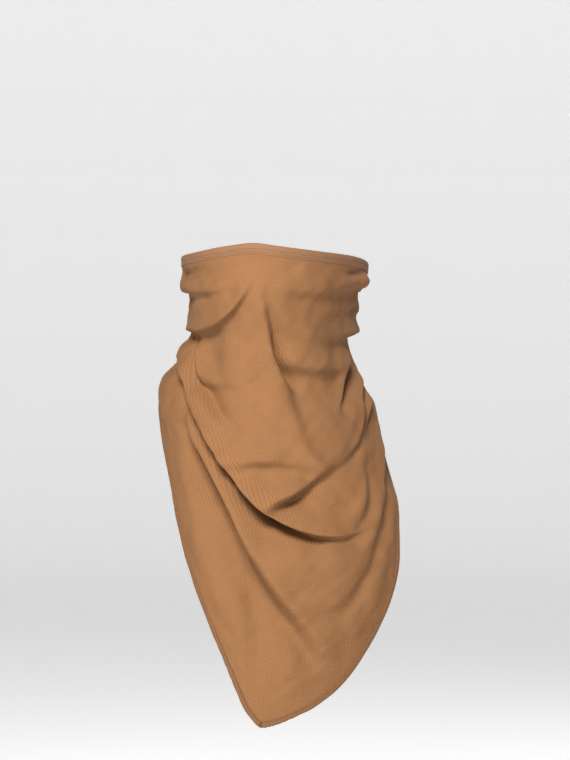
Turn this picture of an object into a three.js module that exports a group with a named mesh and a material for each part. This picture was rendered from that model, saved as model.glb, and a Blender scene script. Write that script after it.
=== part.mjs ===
// Knit face mask with a long pointed bib, as it hangs when it is worn.
//
// Millimetres, +Z up. The wearer faces -Y, and +X is the wearer's left side.
// The origin is the middle of the head opening, at the height of the ears on the
// band's top edge. Every piece lies on one wrap-around surface, wrapPoint(angle, height),
// whose angle is 0 at the nose, +90 at the wearer's left ear and 180 at the nape.
// One knit body goes from the band at the top to the hem at the bottom. It is cut into
// four solids where the worn mask moves. The face tube crumples when the band is pulled
// down, and the bib's fold bends when the bib is lifted, between the neck and the bib.

import * as THREE from 'three';

// ---------- driving dimensions ----------

// head opening, measured on the middle of the band
const openingHalfWidth = 69;
const noseBridgeReach = 95;
const napeReach = 85;
const bandSlope = 0.115;            // rise of the band per millimetre towards the nose

// top band: a folded knit binding over a flat elastic
const bandHeight = 8;
const bindingCloth = 0.7;
const elasticHeight = 4.9;
const elasticThickness = 0.9;
const stitchRowGap = 2;             // between the two rows of cover stitch
const lowerRowLift = 0.5;           // lower row above the band's lower edge

// knit body
const knitThickness = 0.9;
const clearance = 0.3;              // between pieces that touch
const faceTubeFront = -140;         // lower edge of the face tube, at the nose side
const faceTubeBack = -30;           // and at the nape
const foldTop = -222;               // the stretch of cloth that bends when the bib is lifted
const foldEnd = -262;
const cutGap = 0.6;                 // between the solids that the knit body is cut into
const hemGap = 0.8;                 // between the body's edge and its hem
const backHemHeight = -95;

// rolled hem and its stitching
const hemWidth = 4;
const hemThickness = 2;
const threadWidth = 0.6;
const threadThickness = 0.4;
const hemStitchInset = 3.1;         // stitch line, in from the hem's outer edge

// centre back seam, turned to the inside
const seamWidth = 6;
const seamThickness = 1.2;
const seamThreadWidth = 4.4;
const seamEndMargin = 3;            // between the seam and the band or hem

// tacks: short dense stitching over a join
const tackWidth = 3;
const tackLength = 6;

const roundFront = 0.12;            // how much narrower the loop is at the nose than at the nape

// half widths and reaches of the worn mask, from the nose down to the tip of the bib:
// [height, right half width, left half width, front reach, back reach] of the wearer
const sections = [
  [14, openingHalfWidth, openingHalfWidth, noseBridgeReach, napeReach],
  [-4, openingHalfWidth, openingHalfWidth, noseBridgeReach + 2, napeReach],
  [-26, openingHalfWidth - 2, openingHalfWidth - 3, noseBridgeReach + 5, napeReach - 2],
  [-60, openingHalfWidth - 3, openingHalfWidth - 4, noseBridgeReach - 2, napeReach - 6],
  [-92, openingHalfWidth + 18, openingHalfWidth + 5, noseBridgeReach - 4, napeReach - 7],
  [-130, openingHalfWidth + 18, openingHalfWidth + 12, noseBridgeReach + 2, napeReach - 5],
  [-165, openingHalfWidth + 15, openingHalfWidth + 23, noseBridgeReach + 6, napeReach - 5],
  [-215, openingHalfWidth + 14, openingHalfWidth + 37, noseBridgeReach + 9, napeReach - 5],
  [-270, openingHalfWidth + 11, openingHalfWidth + 35, noseBridgeReach + 6, napeReach - 5],
  [-360, openingHalfWidth - 8, openingHalfWidth + 15, noseBridgeReach - 1, napeReach - 5],
];

const cornerRight = -98;            // angles of the bib's two upper corners
const cornerLeft = 124;
const cornerStart = 0.8;            // degrees in from a corner, so that it is not a sliver
const runCut = hemWidth * 0.15;      // degrees taken off each end of a run of hem, more on a wider hem

// where the knit body ends: [angle at the band, angle at the hem, height of the hem]
const hemLine = [
  [-180, -180, backHemHeight],
  [-150, -150, backHemHeight + 1],
  [-120, -121, backHemHeight + 4],
  [-98, -98, -88],
  [-90, -91, -118],
  [-78, -74, -148],
  [-66, -60, -176],
  [-56, -50, -203],
  [-46, -41, -227],
  [-32, -29, -264],
  [-22, -21, -290],
  [-8, -3, -333],
  [0, 5, -352],
  [12, 20, -346],
  [25, 40, -332],
  [36, 54, -316],
  [47, 65, -291],
  [58, 73, -267],
  [68, 79, -241],
  [80, 85, -210],
  [94, 96, -174],
  [108, 109, -136],
  [124, 124, -108],
  [150, 150, backHemHeight - 2],
  [180, 180, backHemHeight],
];

// ---------- the surface that the mask lies on ----------

const degree = Math.PI / 180;

// Smooth curve through the rows of a table, sorted by their first value.
function smoothRow(rows, at) {
  let k = 0;
  while (k < rows.length - 2 && at > rows[k + 1][0]) k += 1;
  const [a, b] = [rows[k], rows[k + 1]];
  const before = rows[Math.max(k - 1, 0)];
  const after = rows[Math.min(k + 2, rows.length - 1)];
  const span = b[0] - a[0];
  const t = Math.min(Math.max((at - a[0]) / span, 0), 1);
  return a.slice(1).map((value, n) => {
    const i = n + 1;
    const slopeA = (b[i] - before[i]) / (b[0] - before[0]) * span;
    const slopeB = (after[i] - a[i]) / (after[0] - a[0]) * span;
    const rise = b[i] - value;
    return value + t * (slopeA + t * (3 * rise - 2 * slopeA - slopeB + t * (slopeA + slopeB - 2 * rise)));
  });
}

const sectionsUpward = [...sections].reverse();

function wrapPoint(angle, height) {
  const [right, left, front, back] = smoothRow(sectionsUpward, height);
  const [side, ahead] = [Math.sin(angle * degree), Math.cos(angle * degree)];
  const halfWidth = side > 0 ? left : right;
  const middle = (back - front) / 2;
  const halfDepth = (back + front) / 2;
  const x = halfWidth * side * (1 - roundFront * ahead);
  return new THREE.Vector3(x, middle - halfDepth * ahead, height);
}

// Height of the band's top edge. The stretched elastic lies in one sloping plane.
function bandTop(angle) {
  return -bandSlope * wrapPoint(angle, 0).y;
}

// Top edge of the knit body, under the elastic inside the band.
const knitTopDrop = bindingCloth + clearance + elasticHeight + clearance;

function bodyTop(angle) {
  return bandTop(angle) - knitTopDrop;
}

function faceTubeEnd(angle) {
  const ahead = (1 + Math.cos(angle * degree)) / 2;
  return faceTubeBack + (faceTubeFront - faceTubeBack) * ahead;
}

function hemAt(angle) {
  const turn = angle > 180 ? 360 : 0;
  const [hemAngle, height] = smoothRow(hemLine, angle - turn);
  return [hemAngle + turn, height];
}

// A point of the knit body: down the wale that starts at this angle, at this height.
function bodyPoint(angle, height) {
  const [hemAngle, hemHeight] = hemAt(angle);
  const top = bodyTop(angle);
  const t = (height - top) / (hemHeight - top);
  return wrapPoint(angle + (hemAngle - angle) * t, height);
}

// The knit body's lower edge with the outward and downward directions there.
function hemFrame(angle) {
  const step = 0.5;
  const edge = (a) => bodyPoint(a, hemAt(a)[1]);
  const point = edge(angle);
  const along = edge(angle + step).sub(edge(angle - step)).normalize();
  const radial = new THREE.Vector3(point.x, point.y, 0).normalize();
  const down = new THREE.Vector3().crossVectors(along, radial).normalize();
  if (down.z > 0) down.negate();
  const outward = new THREE.Vector3().crossVectors(along, down).normalize();
  if (outward.dot(radial) < 0) outward.negate();
  return { point, down, outward };
}

// ---------- solids ----------

function solid(vertices, triangles) {
  let volume = 0;
  for (const [a, b, c] of triangles) {
    volume += vertices[a].dot(new THREE.Vector3().crossVectors(vertices[b], vertices[c]));
  }
  const facing = volume > 0 ? triangles : triangles.map(([a, b, c]) => [a, c, b]);
  const geometry = new THREE.BufferGeometry();
  geometry.setAttribute('position', new THREE.Float32BufferAttribute(vertices.flatMap((v) => v.toArray()), 3));
  geometry.setIndex(facing.flat());
  geometry.computeVertexNormals();
  return geometry;
}

function quad(a, b, c, d) {
  return [[a, b, c], [a, c, d]];
}

// Cloth of one thickness on a grid of middle points, grid[column][row].
// A closed grid joins its last column to its first.
function clothGeometry(grid, thickness, closed) {
  const columns = grid.length;
  const rows = grid[0].length;
  const wrap = (i) => (closed ? (i + columns) % columns : Math.min(Math.max(i, 0), columns - 1));
  const faces = [[], []];
  for (let i = 0; i < columns; i += 1) {
    for (let j = 0; j < rows; j += 1) {
      const across = grid[wrap(i + 1)][j].clone().sub(grid[wrap(i - 1)][j]);
      const down = grid[i][Math.min(j + 1, rows - 1)].clone().sub(grid[i][Math.max(j - 1, 0)]);
      const normal = across.cross(down).normalize();
      faces[0].push(grid[i][j].clone().addScaledVector(normal, thickness / 2));
      faces[1].push(grid[i][j].clone().addScaledVector(normal, -thickness / 2));
    }
  }
  const layer = columns * rows;
  const at = (i, j) => wrap(i) * rows + j;
  const triangles = [];
  const bays = closed ? columns : columns - 1;
  for (let i = 0; i < bays; i += 1) {
    for (let j = 0; j < rows - 1; j += 1) {
      triangles.push(...quad(at(i, j), at(i, j + 1), at(i + 1, j + 1), at(i + 1, j)));
      triangles.push(...quad(layer + at(i + 1, j), layer + at(i + 1, j + 1), layer + at(i, j + 1), layer + at(i, j)));
    }
    triangles.push(...quad(at(i, 0), at(i + 1, 0), layer + at(i + 1, 0), layer + at(i, 0)));
    const end = rows - 1;
    triangles.push(...quad(at(i + 1, end), at(i, end), layer + at(i, end), layer + at(i + 1, end)));
  }
  if (!closed) {
    const last = columns - 1;
    for (let j = 0; j < rows - 1; j += 1) {
      triangles.push(...quad(at(0, j + 1), at(0, j), layer + at(0, j), layer + at(0, j + 1)));
      triangles.push(...quad(at(last, j), at(last, j + 1), layer + at(last, j + 1), layer + at(last, j)));
    }
  }
  return solid([...faces[0], ...faces[1]], triangles);
}

// A section swept along a row of frames. Its points are [outward, up] and run round once.
function sweptGeometry(frames, section, closed) {
  const vertices = [];
  for (const { point, outward, rise } of frames) {
    for (const [out, high] of section) {
      vertices.push(point.clone().addScaledVector(outward, out).addScaledVector(rise, high));
    }
  }
  const sides = section.length;
  const triangles = [];
  const bays = closed ? frames.length : frames.length - 1;
  for (let i = 0; i < bays; i += 1) {
    const here = i * sides;
    const next = ((i + 1) % frames.length) * sides;
    for (let j = 0; j < sides; j += 1) {
      const k = (j + 1) % sides;
      triangles.push(...quad(here + j, here + k, next + k, next + j));
    }
  }
  if (!closed) {
    const outline = section.map(([out, high]) => new THREE.Vector2(out, high));
    const last = (frames.length - 1) * sides;
    for (const [a, b, c] of THREE.ShapeUtils.triangulateShape(outline, [])) {
      triangles.push([a, c, b], [last + a, last + b, last + c]);
    }
  }
  return solid(vertices, triangles);
}

function rectangle(low, high, bottom, top) {
  return [[low, bottom], [high, bottom], [high, top], [low, top]];
}

// ---------- frames along the band and the hem ----------

function spread(from, to, steps) {
  return Array.from({ length: steps + 1 }, (unused, i) => from + (to - from) * i / steps);
}

function fullTurn(steps) {
  return spread(-180, 180, steps).slice(0, steps);
}

function bandFrame(angle) {
  const top = bandTop(angle);
  const point = wrapPoint(angle, top);
  const rise = point.clone().sub(wrapPoint(angle, top - bandHeight)).normalize();
  const along = wrapPoint(angle + 1, top).sub(wrapPoint(angle - 1, top)).normalize();
  return { point, outward: new THREE.Vector3().crossVectors(along, rise).normalize(), rise };
}

// ---------- materials ----------

const knitCloth = new THREE.MeshStandardMaterial({ color: 0xb3804f, roughness: 0.9, metalness: 0 });
const bindingKnit = new THREE.MeshStandardMaterial({ color: 0xae8058, roughness: 0.85, metalness: 0 });
const elastic = new THREE.MeshStandardMaterial({ color: 0xc9b79a, roughness: 0.8, metalness: 0 });
const thread = new THREE.MeshStandardMaterial({ color: 0x8a5f3a, roughness: 0.7, metalness: 0 });

const mask = new THREE.Group();

function addPiece(name, geometry, material) {
  const piece = new THREE.Mesh(geometry, material);
  piece.name = name;
  mask.add(piece);
}

// ---------- top band ----------

const bandSteps = 64;
const slotHalf = Math.max(elasticThickness, knitThickness) / 2 + clearance;
const bandHalf = slotHalf + bindingCloth;
const bandFrames = fullTurn(bandSteps).map(bandFrame);

const foldedBinding = [
  [bandHalf, -bandHeight],
  [bandHalf, 0],
  [-bandHalf, 0],
  [-bandHalf, -bandHeight],
  [-slotHalf, -bandHeight],
  [-slotHalf, -bindingCloth],
  [slotHalf, -bindingCloth],
  [slotHalf, -bandHeight],
];
addPiece('top_binding', sweptGeometry(bandFrames, foldedBinding, true), bindingKnit);

const elasticTop = -bindingCloth - clearance;
const elasticSection = rectangle(
  -elasticThickness / 2, elasticThickness / 2, elasticTop - elasticHeight, elasticTop,
);
addPiece('elastic_tape', sweptGeometry(bandFrames, elasticSection, true), elastic);

const threadOut = bandHalf + clearance;

function bandStitchSection(lift) {
  const low = -bandHeight + lift;
  return rectangle(threadOut, threadOut + threadThickness, low, low + threadWidth);
}

addPiece('binding_stitch_lower', sweptGeometry(bandFrames, bandStitchSection(lowerRowLift), true), thread);
addPiece(
  'binding_stitch_upper',
  sweptGeometry(bandFrames, bandStitchSection(lowerRowLift + stitchRowGap), true),
  thread,
);

// The binding's ends overlap at the nape and are held by a tack over its upper part.
const tackTurn = tackWidth / (2 * openingHalfWidth) / degree;
const tackFrames = spread(180 - tackTurn, 180 + tackTurn, 4).map(bandFrame);
const tackBottom = -bandHeight + lowerRowLift + stitchRowGap + threadWidth + clearance;
addPiece(
  'binding_tack',
  sweptGeometry(tackFrames, rectangle(threadOut, threadOut + threadThickness, tackBottom, -clearance), false),
  thread,
);

// ---------- stations round the body ----------

// Angle at which the hem passes a height, between a corner of the bib and its tip.
function hemCrossing(corner, height) {
  let [high, low] = [corner, 0];
  for (let n = 0; n < 40; n += 1) {
    const middle = (high + low) / 2;
    if (hemAt(middle)[1] > height) high = middle;
    else low = middle;
  }
  return low;
}

const rightFoldTop = hemCrossing(cornerRight, foldTop);
const rightFoldEnd = hemCrossing(cornerRight, foldEnd);
const leftFoldTop = hemCrossing(cornerLeft, foldTop);
const leftFoldEnd = hemCrossing(cornerLeft, foldEnd);

// The body's solids and the hem share these columns, so that their edges run side by side.
const backRun = spread(cornerLeft, cornerRight + 360, 22);
const rightUpperRun = spread(cornerRight, rightFoldTop, 14);
const rightFoldRun = spread(rightFoldTop + cornerStart, rightFoldEnd, 4);
const rightBibRun = spread(rightFoldEnd + cornerStart, 0, 14);
const leftBibRun = spread(0, leftFoldEnd - cornerStart, 16);
const leftFoldRun = spread(leftFoldEnd, leftFoldTop - cornerStart, 4);
const leftUpperRun = spread(leftFoldTop, cornerLeft, 14);

const bibColumns = [...rightBibRun, ...leftBibRun.slice(1)];
const foldColumns = [...rightFoldRun, ...bibColumns, ...leftFoldRun];
const bodyColumns = [...rightUpperRun, ...foldColumns, ...leftUpperRun, ...backRun.slice(1, -1)];

// ---------- knit body ----------

function bodyGrid(angles, topOf, bottomOf, rows) {
  return angles.map((angle) => spread(topOf(angle), bottomOf(angle), rows).map((h) => bodyPoint(angle, h)));
}

function addBodyPiece(name, columns, topOf, bottomOf, rows) {
  const closed = columns === bodyColumns;
  addPiece(name, clothGeometry(bodyGrid(columns, topOf, bottomOf, rows), knitThickness, closed), knitCloth);
}

const hemHeight = (angle) => hemAt(angle)[1];
const neckTop = (angle) => faceTubeEnd(angle) - cutGap;
const neckEnd = (angle) => Math.max(hemHeight(angle), foldTop);
const foldLower = (angle) => Math.max(hemHeight(angle), foldEnd);
addBodyPiece('face_tube', bodyColumns, bodyTop, faceTubeEnd, 7);
addBodyPiece('neck_body', bodyColumns, neckTop, neckEnd, 5);
addBodyPiece('bib_fold', foldColumns, () => foldTop - cutGap, foldLower, 3);
addBodyPiece('bib', bibColumns, () => foldEnd - cutGap, hemHeight, 6);

// ---------- rolled hem and its stitching ----------

const hemInner = -hemGap;
const hemOuter = hemInner - hemWidth;
const hemSection = rectangle(-hemThickness / 2, hemThickness / 2, hemOuter, hemInner);
const hemThreadOut = hemThickness / 2 + clearance;
const hemThreadLow = hemOuter + hemStitchInset;
const hemThreadSection = rectangle(
  hemThreadOut, hemThreadOut + threadThickness, hemThreadLow, hemThreadLow + threadWidth,
);

// One run of hem, cut back a little at both ends from the runs that it meets.
function hemRun(stations) {
  const last = stations.length - 1;
  const angles = stations.map((angle, i) => angle + (i === 0 ? runCut : 0) - (i === last ? runCut : 0));
  return angles.map((angle) => {
    const { point, down, outward } = hemFrame(angle);
    return { point, outward, rise: down.negate() };
  });
}

const hemRuns = {
  hem_back: backRun,
  hem_right_upper: rightUpperRun,
  hem_left_upper: leftUpperRun,
  hem_right_lower: [...rightFoldRun, ...rightBibRun],
  hem_left_lower: [...leftBibRun, ...leftFoldRun],
};
for (const [name, stations] of Object.entries(hemRuns)) {
  const run = hemRun(stations);
  addPiece(name, sweptGeometry(run, hemSection, false), knitCloth);
  addPiece(`${name}_stitch`, sweptGeometry(run, hemThreadSection, false), thread);
}

// ---------- centre back seam ----------

// Both raw edges of the body meet at the nape and are turned to the inside.
const seamTop = bodyTop(180) - (bandHeight - knitTopDrop) - seamEndMargin;
const seamEnd = backHemHeight + seamEndMargin;

function seamFrames(width) {
  const half = width / (2 * openingHalfWidth) / degree;
  return spread(180 - half, 180 + half, 4).map((angle) => (
    spread(seamTop, seamEnd, 10).map((h) => wrapPoint(angle, h))
  ));
}

function inward(grid, distance) {
  return grid.map((column) => column.map((p) => p.clone().add(new THREE.Vector3(0, -distance, 0))));
}

const seamOffset = knitThickness / 2 + clearance * 2 + seamThickness / 2;
addPiece(
  'back_seam',
  clothGeometry(inward(seamFrames(seamWidth), seamOffset), seamThickness, false),
  knitCloth,
);
const seamThreadOffset = seamOffset + seamThickness / 2 + clearance + threadThickness / 2;
addPiece(
  'back_seam_thread',
  clothGeometry(inward(seamFrames(seamThreadWidth), seamThreadOffset), threadThickness, false),
  thread,
);

// ---------- tack over the mitre at the tip of the bib ----------

const tip = hemFrame(0);
const tackOut = hemThreadOut + threadThickness + clearance;
const tackSection = rectangle(tackOut, tackOut + threadThickness, -tackLength / 2, tackLength / 2);
const tipSide = new THREE.Vector3().crossVectors(tip.down, tip.outward).normalize();
const tipMiddle = tip.point.clone().addScaledVector(tip.down, hemWidth + hemGap - tackLength / 2);
const tipFrames = [-1, 1].map((side) => ({
  point: tipMiddle.clone().addScaledVector(tipSide, side * threadWidth),
  outward: tip.outward,
  rise: tip.down.clone().negate(),
}));
addPiece('tip_tack', sweptGeometry(tipFrames, tackSection, false), thread);

export default mask;
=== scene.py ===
"""Knit face mask with a long pointed bib, in the drape that it has when it is worn.

The cloth is one surface. Its columns are wales that run from the head opening down to the hem,
and its folds are lines on that surface: along each line the cloth above swells over the cloth below.
Lengths in the tables are millimetres, and meshes are made in metres.
"""

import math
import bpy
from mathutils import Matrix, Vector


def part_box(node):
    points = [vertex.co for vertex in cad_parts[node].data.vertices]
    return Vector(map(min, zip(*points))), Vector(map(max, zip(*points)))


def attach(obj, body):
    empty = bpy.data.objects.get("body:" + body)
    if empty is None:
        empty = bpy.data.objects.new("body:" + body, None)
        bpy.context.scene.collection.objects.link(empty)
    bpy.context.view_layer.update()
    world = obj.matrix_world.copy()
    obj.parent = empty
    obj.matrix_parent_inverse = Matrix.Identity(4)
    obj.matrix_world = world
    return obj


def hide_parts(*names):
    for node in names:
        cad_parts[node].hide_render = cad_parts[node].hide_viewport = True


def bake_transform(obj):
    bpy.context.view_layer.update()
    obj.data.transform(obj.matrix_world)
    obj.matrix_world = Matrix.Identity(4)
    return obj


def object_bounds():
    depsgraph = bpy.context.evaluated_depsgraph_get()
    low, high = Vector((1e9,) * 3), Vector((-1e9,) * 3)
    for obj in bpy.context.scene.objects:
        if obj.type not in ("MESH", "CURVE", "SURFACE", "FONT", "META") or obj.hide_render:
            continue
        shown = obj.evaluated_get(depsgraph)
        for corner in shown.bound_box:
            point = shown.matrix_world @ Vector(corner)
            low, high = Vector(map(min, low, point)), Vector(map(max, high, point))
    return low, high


bl_info = {
    "name": "Knit face mask",
    "version": (1, 0, 0),
    "blender": (4, 5, 0),
    "location": "View3D > Sidebar > Face mask",
    "description": "Makes a knit tube mask with an elastic band, folds, a rolled hem and stitching",
    "category": "Add Mesh",
}

import bpy
import numpy as np
from bpy.props import FloatProperty, FloatVectorProperty, IntProperty, PointerProperty
from mathutils import Vector

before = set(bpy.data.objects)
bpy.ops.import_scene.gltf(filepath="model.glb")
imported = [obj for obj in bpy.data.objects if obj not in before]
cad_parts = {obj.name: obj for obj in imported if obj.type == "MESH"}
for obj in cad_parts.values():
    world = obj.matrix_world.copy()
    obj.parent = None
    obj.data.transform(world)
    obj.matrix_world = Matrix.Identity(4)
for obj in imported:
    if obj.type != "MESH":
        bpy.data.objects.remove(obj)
cad_box = [list(corner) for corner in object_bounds()]

MM = 0.001
RAD = math.pi / 180

# ---------- sizes and tables ----------

elastic_low, elastic_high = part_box("elastic_tape")

# how far the elastic's outer face stands outside the cloth, at the ears and at the nose
ELASTIC_OUT_AT_EARS = 1.0
ELASTIC_OUT_AT_NOSE = 1.4

# half width of the head opening, and its reach from the neck's axis to the nose and to the nape
HALF_WIDTH = (elastic_high.x - elastic_low.x) / 2 / MM - ELASTIC_OUT_AT_EARS
NOSE_REACH = -elastic_low.y / MM - ELASTIC_OUT_AT_NOSE
NAPE_REACH = elastic_high.y / MM

# the band rises to the nose by this share of its depth, and is this tall
BAND_SLOPE = 0.115
BAND_HEIGHT = 8.0

# how much narrower the sections are towards the nose than towards the nape
ROUND_FRONT = 0.12

# height of the hem at the nape, and the wales at which it turns down to the bib
BACK_HEM = -95.0
CORNER_RIGHT = -98.0
CORNER_LEFT = 124.0

# height of the line at which the bib is made as a piece of its own
CUT_HEIGHT = -195.0

# degrees by which the mask is worn turned to its right
WORN_TURN = 12.0

# degrees round the body and height between two entries of the table of unrolled lengths
ANGLE_STEP = 2.0
HEIGHT_STEP = 5.0

# share of a turned edge's half width over which the upper cloth gives way to the lower, how deep
# in the edge its pocket is, and how far a fold fades past the end of its line
EDGE_BLEND = 0.6
POCKET_PLACE = 0.9
LINE_FADE = 6.0

# longest and shortest wave of the cloth's slackness, and how many waves there are
LONG_WAVE = 46.0
SHORT_WAVE = 9.0
WAVES = 26

# cloth next to the band that it holds still, and the ease that the gathered cloth has there
HELD_BY_BAND = 7.0
BAND_EASE = 0.55
BAND_EASE_REACH = 3.0

# cloth next to the hem that lies flat, and the height at which it is free
FLAT_AT_HEM = 2.0
FREE_AT_HEM = 30.0

# depth and half width of the groove over the back seam, and the length of one degree at the nape
SEAM_GROOVE = 0.7
SEAM_GROOVE_REACH = 1.2
NAPE_DEGREE = 1.3

# share of each stitch that its thread covers
THREAD_SHARE = 0.86

# height, right half width, left half width, front reach and back reach, as changes
# from the head opening's own: the worn mask is held in at the jaw and flares over the shoulders
SECTIONS = (
    (14, 4, 2, 0, 0),
    (-6, 4, 2, 2, 0),
    (-16, 3, 1, 4, -1),
    (-28, -2, -5, 6, -2),
    (-44, -2, -7, 1, -4),
    (-58, -3, -9, -3, -6),
    (-68, 3.5, -12, -4, -7),
    (-80, 9, -10, -5, -7),
    (-94, 22, -4, -5, -8),
    (-112, 24, 6, -2, -7),
    (-136, 21, 12, 2, -6),
    (-162, 18, 19, 5, -5),
    (-200, 17, 31, 8, -5),
    (-235, 15, 37.5, 8, -5),
    (-270, 12, 36.5, 6, -5),
    (-320, 1, 25, 2, -5),
    (-370, -10, 14, -2, -5),
)

# wale at the head opening, angle round the neck at the hem, height of the hem
HEM_LINE = (
    (-180, -180, BACK_HEM),
    (-150, -150, BACK_HEM + 1),
    (-122, -123, BACK_HEM + 5),
    (-108, -108, -90),
    (-98, -99, -94),
    (-92, -95, -106),
    (-86, -86, -122),
    (-78, -74, -148),
    (-66, -60, -176),
    (-56, -51, -203),
    (-46, -43, -229),
    (-32, -30, -266),
    (-22, -21, -292),
    (-8, -4, -337),
    (-0.6, 6, -355),
    (0.6, 8, -355.6),
    (12, 20.5, -350.5),
    (25, 39.5, -337.5),
    (36, 53.5, -319),
    (47, 64.5, -293),
    (58, 72, -267),
    (68, 79, -241),
    (80, 86, -210),
    (94, 97, -174),
    (108, 110, -136),
    (124, 124, -110),
    (150, 150, BACK_HEM - 2),
    (180, 180, BACK_HEM),
)

# Each fold: name, swell of the cloth on the left of the line, drop on its right, how far each of
# them reaches, depth of the pocket under the turned edge, how far the upper cloth laps over the
# lower, half width of the turned edge. Its line is (across, height, strength), with across measured
# square to the worn turn.
FOLDS = (
    ("cowl_edge", 10.0, 9.6, 11, 16, 15.0, 6.4, 4.2, (
        (-76, -60, 0), (-76, -70, 0.3), (-75, -81, 0.45), (-71.5, -94, 0.55), (-66, -108, 0.65),
        (-58, -123, 0.75), (-49.5, -138, 0.85), (-40, -153, 0.92), (-28.5, -169, 1.05),
        (-15, -184, 1.2), (-2, -194.5, 1.2), (15, -204.5, 0.95), (31, -210.5, 0.65), (46, -213, 0.34),
        (60, -212.5, 0.16), (71, -208, 0.06), (78, -202, 0))),
    ("under_lip", 2.0, 1.6, 6, 9, 0.0, 0.0, 3.6, (
        (-16, -205, 0), (-9, -208, 0.8), (11, -213, 1), (37, -220, 0.4), (62, -219, 0.1), (72, -216, 0))),
    ("tube_edge", 4.0, 6.0, 7, 8, 7.0, 2.6, 3.8, (
        (-62, -59, 0.1), (-61.3, -66, 1), (-61.3, -77, 1), (-60.5, -88, 1.1), (-58.5, -96, 0.8),
        (-56, -102, 0.1))),
    ("shoulder_roll", 3.5, 4.5, 6, 9, 2.0, 0.3, 4.0, (
        (-34, -133, 0.05), (-40, -126, 0.5), (-48, -116.5, 0.9), (-55, -106, 1.2),
        (-59.5, -97, 1.2), (-62, -88, 0.3))),
    ("chin_lobe", 3.0, 2.4, 12, 8, 1.5, 0.3, 5.0, (
        (-60, -94, 0), (-54, -96, 0.5), (-46, -98, 0.8), (-34, -98, 0.4), (-22, -95, 0))),
    ("diagonal_roll", 11.0, 18.0, 14, 24, 2.0, 1.2, 7.0, (
        (-72, -112, 0), (-70.5, -127, 0.35), (-65, -142, 0.8), (-58.5, -153, 1), (-48.3, -171, 1),
        (-36.5, -194, 1), (-28, -212, 1), (-19.6, -229, 0.95), (-12, -242, 0.9), (2, -261, 0.75),
        (17, -280, 0.6), (29, -298, 0.35), (36, -316, 0))),
    ("nose_ridge", 5.0, 7.0, 12, 10, 3.0, 1.2, 4.4, (
        (20, -104, 0), (13, -97, 0.6), (7, -90, 1), (2, -79, 1.05), (-1.5, -66, 0.85),
        (-4.5, -50, 0.5), (-7.5, -34, 0.25), (-9.5, -20, 0))),
    ("centre_crease", 2.6, 2.2, 14, 13, 0.0, 0.0, 7.0, (
        (34, -163, 0), (28, -148, 0.7), (21.7, -130, 1), (14, -109, 1), (9, -94, 0.4), (6, -88, 0))),
    ("cheek_lip", 5.0, 2.8, 17, 18, 0.8, 1.4, 6.4, (
        (0, -72, 0), (7, -79, 0.6), (15, -84, 1), (25, -87, 1), (37, -88.5, 0.9),
        (50, -88, 0.8), (56, -86, 0.5), (61, -83, 0))),
    ("right_pocket", 4.0, 6.5, 9, 13, 4.5, 1.8, 5.0, (
        (51, -121, 0), (53, -113, 0.4), (55.5, -104, 0.9), (57, -95, 1.1), (57.5, -86, 1),
        (58.2, -77, 0.6), (59, -70, 0.2))),
    ("inner_lobe", 4.8, 2.8, 17, 14, 0.8, 0.6, 6.0, (
        (-42, -153, 0), (-34, -156, 0.7), (-22, -157.5, 1), (-4, -156.5, 1), (12, -158, 0.8),
        (25, -160.5, 0.5), (36, -161.5, 0.4), (45, -154, 0.3), (53, -144, 0.3),
        (59.5, -132, 0.3), (63, -119, 0.3), (63.5, -106, 0.2), (62, -94, 0.1))),
    ("second_valley", 7.0, 5.5, 12, 10, 7.0, 1.4, 4.4, (
        (-5, -187, 0), (1, -186, 0.6), (10, -183.5, 1.1), (20, -178, 1), (30, -171, 0.7),
        (40, -164.5, 0.35), (52, -157, 0.2), (61.5, -148, 0.25), (67.5, -136, 0.4), (69.5, -123, 0.5),
        (69.5, -110, 0.6), (68, -98, 0.5), (66, -89, 0.1))),
    ("right_wall", 4.0, 4.5, 10, 10, 0.0, 0.0, 7.0, (
        (58, -208, 0), (65, -201, 0.8), (70, -191, 1), (72.5, -177, 1), (71, -160, 0.6),
        (70, -148, 0.1))),
    ("right_streak", 3.0, 3.6, 16, 18, 0.0, 0.0, 9.0, (
        (14, -262, 0), (32, -268, 0.5), (49.8, -266, 0.8), (62, -252, 1), (72, -234, 1),
        (79.6, -213, 1.1), (84, -194, 1.2), (87, -177, 0.2))),
    ("left_cheek", 3.4, 2.4, 6, 6, 0.6, 0.4, 3.6, (
        (-72, -26, 1.3), (-62, -27, 1.1), (-50, -26, 0.9), (-37, -22, 0.5), (-28, -18, 0))),
    ("left_tent", 6.0, 4.2, 6.5, 8.5, 1.2, 1.0, 3.8, (
        (-66, -57, 1), (-56, -56, 1), (-46, -52, 1), (-35.5, -44, 1), (-26.5, -33, 0.75),
        (-20, -23, 0.35), (-16, -16, 0))),
    ("right_cheek", 2.6, 1.2, 11, 13, 0.0, 0.0, 5.6, (
        (-5, -21, 0), (8, -25, 0.6), (24, -28, 1), (42, -27, 1), (55, -23.5, 1.1),
        (66, -20.5, 1.2))),
    ("right_jaw", 1.6, 2.6, 7, 7, 0.0, 0.0, 4.6, (
        (34, -46, 0), (44, -44, 0.4), (54, -41, 0.8), (63, -37, 1))),
    ("right_jaw_low", 2.0, 1.8, 7, 7, 0.0, 0.0, 5.0, (
        (36, -66, 0), (46, -64, 0.5), (54, -61.5, 0.9), (63, -58, 1))),
)

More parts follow.
